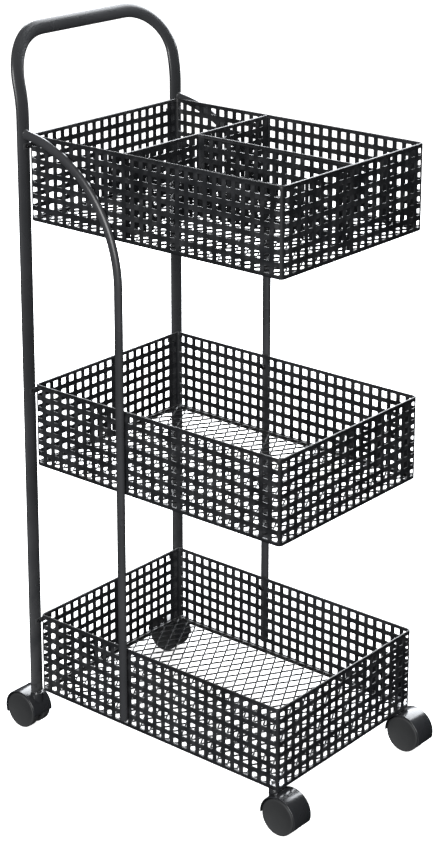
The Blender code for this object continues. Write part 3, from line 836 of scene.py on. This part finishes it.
def side_bar_points(side_name):
    """A side bar's middle line, out of its post in an arc and down to its foot."""
    low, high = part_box(f"{side_name}_side_bar")
    post_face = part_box("handle_frame")[1].x
    bar_x = high.x - BAR_WIDE / 2
    y = (low.y + high.y) / 2
    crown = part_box("top_basket_wall")[1].z + BAR_CROWN
    centre_x = bar_x - BAR_RADIUS
    start = math.acos((post_face - BAR_IN_POST - centre_x) / BAR_RADIUS)
    points = []
    for step in range(BAR_STEPS + 1):
        angle = start * (1 - step / BAR_STEPS)
        x = centre_x + BAR_RADIUS * math.cos(angle)
        points.append(Vector((x, y, crown - BAR_RADIUS + BAR_RADIUS * math.sin(angle))))
    foot = low.z + BAR_END
    points.append(Vector((bar_x, y, (points[-1].z + foot) / 2)))
    points.append(Vector((bar_x, y, foot)))
    return points


def make_side_bars():
    """Both oval side bars, each with its weld."""
    section = oval(BAR_THIN, BAR_WIDE, BAR_SIDES)
    for side_name, _ in SIDES:
        line = side_bar_points(side_name)
        name = f"{side_name}_oval_bar"
        mesh = shade(swept(name, line, section, ACROSS, round_end=BAR_END))
        piece(name, mesh, "cart", "powder_coated_tube", [f"{side_name}_side_bar"])
        make_bar_weld(side_name, line)


def make_bar_weld(side_name, line):
    """The painted-over weld bead where the side bar leaves the post."""
    way = (line[1] - line[0]).normalized()
    lift = way.cross(ACROSS)
    spot = line[0] + way * WELD_PLACE
    rings = []
    for step in range(WELD_STEPS):
        angle = 2 * math.pi * step / WELD_STEPS
        cos, sin = math.cos(angle), math.sin(angle)
        out = ACROSS * cos + lift * sin
        centre = spot + ACROSS * (BAR_THIN / 2) * cos + lift * (BAR_WIDE / 2) * sin
        ripple = WELD_RIPPLE_SHARE * math.sin(angle * WELD_RIPPLES)
        rough = WELD_NOISE_SHARE * noise.noise(centre * WELD_NOISE_SCALE)
        radius = WELD_RADIUS * (1 + ripple + rough)
        ring = []
        for part in range(WELD_SIDES):
            turn = 2 * math.pi * part / WELD_SIDES
            ring.append(centre + out * radius * math.cos(turn) + way * radius * WELD_STRETCH * math.sin(turn))
        rings.append(ring)
    mesh = shade(rings_mesh(f"{side_name}_bar_weld", rings, closed_line=True), 60)
    piece(f"{side_name}_bar_weld", mesh, "cart", "powder_coated_tube")


# ---------------------------------------------------------------- casters


def hood_strip():
    """The hood's shell: a strip with rounded edges, bent round the axle from lip to lip."""
    section = [(-HOOD_HALF_WIDTH, HOOD_RADIUS - HOOD_THICK)]
    for step in range(HOOD_SOFT_STEPS + 1):
        angle = math.pi / 2 * step / HOOD_SOFT_STEPS
        section.append((
            -HOOD_HALF_WIDTH + HOOD_SOFT * (1 - math.cos(angle)),
            HOOD_RADIUS - HOOD_SOFT * (1 - math.sin(angle)),
        ))
    section.extend([(-y, radius) for y, radius in reversed(section)])
    start = -HOOD_FRONT_DROP
    end = math.pi + HOOD_BACK_DROP
    rings = []
    for step in range(HOOD_STEPS + 1):
        angle = start + (end - start) * step / HOOD_STEPS
        lip = min(step, HOOD_STEPS - step)
        taper = LIP_TAPERS[lip] * HOOD_THICK if lip < len(LIP_TAPERS) else 0.0
        ring = []
        for y, radius in section:
            radius = min(radius, HOOD_RADIUS - taper)
            ring.append((TRAIL + radius * math.cos(angle), y, WHEEL_RADIUS + radius * math.sin(angle)))
        rings.append(ring)
    return rings_mesh("hood_strip", rings)


def lying(mesh, place):
    """Turn a mesh made along Z to lie along Y, and move it."""
    mesh.transform(Matrix.Translation(place) @ Matrix.Rotation(math.pi / 2, 4, "X"))
    return mesh


def disc(name, radius, low, high, segments):
    """A round cutter along Z."""
    return turned(name, [(0, low), (radius, low), (radius, high), (0, high)], segments)


def hood_web():
    """The web between the wheels, from under the hood to round the axle."""
    radius = HOOD_RADIUS - HOOD_THICK / 2
    start = -HOOD_FRONT_DROP + WEB_LIP_GAP
    end = math.pi + HOOD_BACK_DROP - WEB_LIP_GAP
    outline = []
    for step in range(WEB_STEPS + 1):
        angle = start + (end - start) * step / WEB_STEPS
        outline.append((radius * math.cos(angle), radius * math.sin(angle)))
    for step in range(HUB_STEPS + 1):
        angle = math.radians(HUB_START + HUB_TURN * step / HUB_STEPS)
        outline.append((HUB_RADIUS * math.cos(angle), HUB_RADIUS * math.sin(angle)))
    half = WEB_THICK / 2
    return rings_mesh("hood_web", [
        [(TRAIL + x, y, WHEEL_RADIUS + z) for x, z in outline] for y in (-half, half)
    ])


def hood_neck(axle):
    """The neck round the stem, open where the wheels turn."""
    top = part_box("front_right_caster_hood")[1].z
    neck = turned("hood_neck", [
        (0, WHEEL_RADIUS + NECK_FOOT),
        (NECK_RADIUS, WHEEL_RADIUS + NECK_FOOT),
        (NECK_RADIUS, top - NECK_SOFT),
        (NECK_RADIUS - NECK_SOFT_HALFWAY, top - NECK_SOFT_HALFWAY),
        (NECK_RADIUS - NECK_SOFT, top),
        (0, top),
    ], NECK_SEGMENTS)
    pockets = []
    for side in (-1, 1):
        low, high = sorted((side * WEB_THICK / 2, side * 2 * HOOD_HALF_WIDTH))
        pocket = disc("pocket", HOOD_RADIUS - HOOD_THICK - POCKET_GAP, low, high, WHEEL_SEGMENTS)
        pockets.append(("DIFFERENCE", lying(pocket, axle)))
    return combined("hood_neck_cut", neck, pockets)


def hood_shape():
    """A moulded hood over the swivel's axis, trailing towards +X."""
    axle = Vector((TRAIL, 0, WHEEL_RADIUS))
    neck = hood_neck(axle)
    stem_bore = disc("stem_bore", STEM_BORE, STEM_BORE_LOW, STEM_BORE_HIGH, BORE_SEGMENTS)
    axle_bore = disc("axle_bore", AXLE_BORE, -AXLE_BORE_REACH, AXLE_BORE_REACH, BORE_SEGMENTS)
    mesh = combined("caster_hood", hood_strip(), [
        ("UNION", hood_web()),
        ("UNION", neck),
        ("DIFFERENCE", stem_bore),
        ("DIFFERENCE", lying(axle_bore, axle)),
    ])
    mesh.materials.clear()
    return shade(mesh, 32)


def tread_edge(face, inwards):
    """The rounded edge of the tread at one face, from the face outwards; inwards is +1 or -1."""
    points = []
    for step in range(TREAD_STEPS + 1):
        angle = math.pi / 2 * step / TREAD_STEPS
        points.append((
            WHEEL_RADIUS - TREAD_CROWN - TREAD_SOFT * (1 - math.sin(angle)),
            face + inwards * TREAD_SOFT * (1 - math.cos(angle)),
        ))
    return points


def wheel_shape():
    """A closed wheel with a rounded tread, its outer face towards +Z and the axle's middle at the origin."""
    hollow = WHEEL_INNER + HOLLOW_DEPTH
    profile = [
        (0, WHEEL_OUTER - FACE_DISH), (FACE_RADIUS, WHEEL_OUTER - FACE_DISH), (FACE_EDGE_RADIUS, WHEEL_OUTER),
        *tread_edge(WHEEL_OUTER, -1),
        (WHEEL_RADIUS, (WHEEL_OUTER + WHEEL_INNER) / 2),
        *reversed(tread_edge(WHEEL_INNER, 1)),
        (HOLLOW_OUTSIDE[0], WHEEL_INNER), (HOLLOW_OUTSIDE[1], hollow),
        (HOLLOW_INSIDE[1], hollow), (HOLLOW_INSIDE[0], WHEEL_INNER),
        (AXLE_BORE, WHEEL_INNER), (AXLE_BORE, WHEEL_BORE_END), (0, WHEEL_BORE_END),
    ]
    return shade(turned("caster_wheel", profile, WHEEL_SEGMENTS), 28)


def make_casters():
    """Four casters with one hood mesh and one wheel mesh between them."""
    hood = hood_shape()
    wheel = wheel_shape()
    for end in ("front", "rear"):
        for side_name, side in SIDES:
            corner = f"{end}_{side_name}"
            pivot = Vector(JOINTS[f"{corner}_caster_swivel"]["pos_m"])
            axle = Vector(JOINTS[f"{corner}_outer_wheel_spin"]["pos_m"])
            heading = Matrix.Rotation(0.0 if axle.x > pivot.x else math.pi, 4, "Z")
            place = Matrix.Translation((pivot.x, pivot.y, 0)) @ heading
            node = f"{corner}_caster_hood"
            piece(f"{corner}_moulded_hood", hood, f"{corner}_caster", "caster_plastic", [node], place)
            for which, facing in (("outer", side), ("inner", -side)):
                body = f"{corner}_{which}_wheel"
                node = f"{corner}_caster_{which}_wheel"
                place = Matrix.Translation(axle) @ Matrix.Rotation(-facing * math.pi / 2, 4, "X")
                piece(f"{body}_disc", wheel, body, "wheel_plastic", [node], place)
            keep_node(f"{corner}_caster_stem", "zinc_steel")
            keep_node(f"{corner}_caster_axle", "zinc_steel")


# ---------------------------------------------------------------- fixings


def bit_wing(turn):
    """One tapered wing of the driver's cross, standing on its tip."""
    bm = bmesh.new()
    made = bmesh.ops.create_cube(bm, size=1.0)["verts"]
    for vert in made:
        half = WING_HALF_WIDTH if vert.co.z > 0 else WING_HALF_TIP
        vert.co = Vector((vert.co.x * 2 * half, vert.co.y * WING_THICK, vert.co.z * WING_HEIGHT))
    bmesh.ops.rotate(bm, verts=made, matrix=Matrix.Rotation(turn, 3, "Z"))
    bmesh.ops.translate(bm, verts=bm.verts, vec=(0, 0, SCREW_HEAD_THICK))
    return mesh_from("bit_wing", bm)


def screw_shape(length):
    """A pan-head screw along Z: head up, its underside at the origin."""
    profile = [(0, SCREW_HEAD_THICK)]
    for step in range(1, HEAD_STEPS + 1):
        angle = math.pi / 2 * step / HEAD_STEPS
        crown = (1 - HEAD_SIDE_SHARE) * math.cos(angle) ** HEAD_FLATNESS
        profile.append((
            SCREW_HEAD_RADIUS * math.sin(angle) ** HEAD_ROUNDING,
            SCREW_HEAD_THICK * (HEAD_SIDE_SHARE + crown),
        ))
    profile.extend([
        (SCREW_HEAD_RADIUS, 0),
        (SCREW_RADIUS, 0),
        (SCREW_RADIUS, -length + SCREW_POINT),
        (SCREW_RADIUS - SCREW_POINT, -length),
        (0, -length),
    ])
    # One cut for each wing: a cutter of two crossing wings leaves nothing of the screw
    wings = [("DIFFERENCE", bit_wing(0.0)), ("DIFFERENCE", bit_wing(math.pi / 2))]
    return shade(combined("pan_head_screw", turned("screw", profile, SCREW_SEGMENTS), wings), 30)


def make_screws():
    """The screws of the posts and the side bars, all with their heads inside the baskets."""
    low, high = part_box("top_right_post_screw")
    post_screw = screw_shape(high.x - low.x - SCREW_HEAD_THICK)
    low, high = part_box("top_right_bar_screw")
    bar_screw = screw_shape(high.y - low.y - SCREW_HEAD_THICK)
    for level in LEVELS:
        for side_name, side in SIDES:
            node = f"{level}_{side_name}_post_screw"
            low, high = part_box(node)
            middle = (low + high) / 2
            spot = Vector((low.x + SCREW_HEAD_THICK, middle.y, middle.z))
            place = Matrix.Translation(spot) @ Matrix.Rotation(-math.pi / 2, 4, "Y")
            piece(f"{node}_head", post_screw, "cart", "black_screws", [node], place)
            keep_node(f"{level}_{side_name}_post_lug", "powder_coated_tube")

            node = f"{level}_{side_name}_bar_screw"
            low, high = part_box(node)
            middle = (low + high) / 2
            under_head = low.y + SCREW_HEAD_THICK if side > 0 else high.y - SCREW_HEAD_THICK
            spot = Vector((middle.x, under_head, middle.z))
            place = Matrix.Translation(spot) @ Matrix.Rotation(side * math.pi / 2, 4, "X")
            piece(f"{node}_head", bar_screw, "cart", "black_screws", [node], place)


def make_seats():
    """What the casters' stems are fixed in."""
    for side_name, _ in SIDES:
        keep_node(f"front_{side_name}_caster_plate", "zinc_steel")
        keep_node(f"front_{side_name}_caster_nut", "zinc_steel")
        keep_node(f"rear_{side_name}_post_plug", "caster_plastic")


# ---------------------------------------------------------------- studio


def make_studio_floor():
    """A pale floor that glows, so that it meets the surround without a line, and casts no light back."""
    bm = bmesh.new()
    bmesh.ops.create_grid(bm, x_segments=1, y_segments=1, size=FLOOR_REACH)
    mesh = mesh_from("studio_floor", bm)
    floor = in_scene("studio_floor", mesh)
    floor.location.z = -FLOOR_DROP
    paint, _, shader, _ = new_material("pale_floor")
    shader.inputs["Base Color"].default_value = FLOOR_COLOUR
    shader.inputs["Roughness"].default_value = 0.9
    shader.inputs["Specular IOR Level"].default_value = 0.0
    shader.inputs["Emission Color"].default_value = WHITE
    shader.inputs["Emission Strength"].default_value = FLOOR_GLOW
    mesh.materials.append(paint)
    floor.visible_glossy = False
    floor.visible_diffuse = False


def make_surround():
    """A surround that looks white to the camera and lights the object less than it looks."""
    world = bpy.data.worlds.new("studio")
    world.use_nodes = True
    tree = world.node_tree
    seen = tree.nodes["Background"]
    seen.inputs["Color"].default_value = WHITE
    around = tree.nodes.new("ShaderNodeBackground")
    around.inputs["Color"].default_value = AROUND_COLOUR
    around.inputs["Strength"].default_value = AROUND_STRENGTH
    path = tree.nodes.new("ShaderNodeLightPath")
    choice = tree.nodes.new("ShaderNodeMixShader")
    tree.links.new(path.outputs["Is Camera Ray"], choice.inputs[0])
    tree.links.new(around.outputs[0], choice.inputs[1])
    tree.links.new(seen.outputs[0], choice.inputs[2])
    tree.links.new(choice.outputs[0], tree.nodes["World Output"].inputs["Surface"])
    world.cycles_visibility.glossy = False
    bpy.context.scene.world = world


def make_lights():
    """A soft sun from the side and a softbox behind and above."""
    sun = bpy.data.lights.new("side_fill", "SUN")
    sun.energy = SUN_STRENGTH
    sun.angle = math.radians(SUN_SOFTNESS)
    in_scene("side_fill", sun).rotation_euler = (-SUN_WAY).to_track_quat("-Z", "Y").to_euler()

    light = bpy.data.lights.new("back_softbox", "AREA")
    light.shape = "RECTANGLE"
    light.size, light.size_y = SOFTBOX_SIZE
    light.energy = SOFTBOX_POWER
    light.color = SOFTBOX_COLOUR
    softbox = in_scene("back_softbox", light)
    softbox.location = SOFTBOX_PLACE
    softbox.rotation_euler = (AIM - SOFTBOX_PLACE).to_track_quat("-Z", "Y").to_euler()
    softbox.visible_camera = False


def make_camera():
    """The camera, and colours shown as they are, without a film look."""
    lens = bpy.data.cameras.new("camera")
    lens.sensor_width = CAMERA_SENSOR
    lens.lens = CAMERA_LENS
    lens.shift_y = CAMERA_SHIFT_Y
    lens.clip_start = CAMERA_NEAREST
    lens.clip_end = CAMERA_FARTHEST
    camera = in_scene("camera", lens)
    camera.location = CAMERA_PLACE
    camera.rotation_euler = (math.radians(90 - CAMERA_ELEVATION), 0.0, math.radians(CAMERA_AZIMUTH))
    bpy.context.scene.camera = camera
    view = bpy.context.scene.view_settings
    view.view_transform = "Standard"
    view.look = "None"


make_camera()
make_studio_floor()
make_surround()
make_lights()
for basket_level in LEVELS:
    make_wall(basket_level)
    make_floor(basket_level)
for divider in DIVIDERS:
    make_divider(*divider)
make_frame()
make_side_bars()
make_casters()
make_screws()
make_seats()
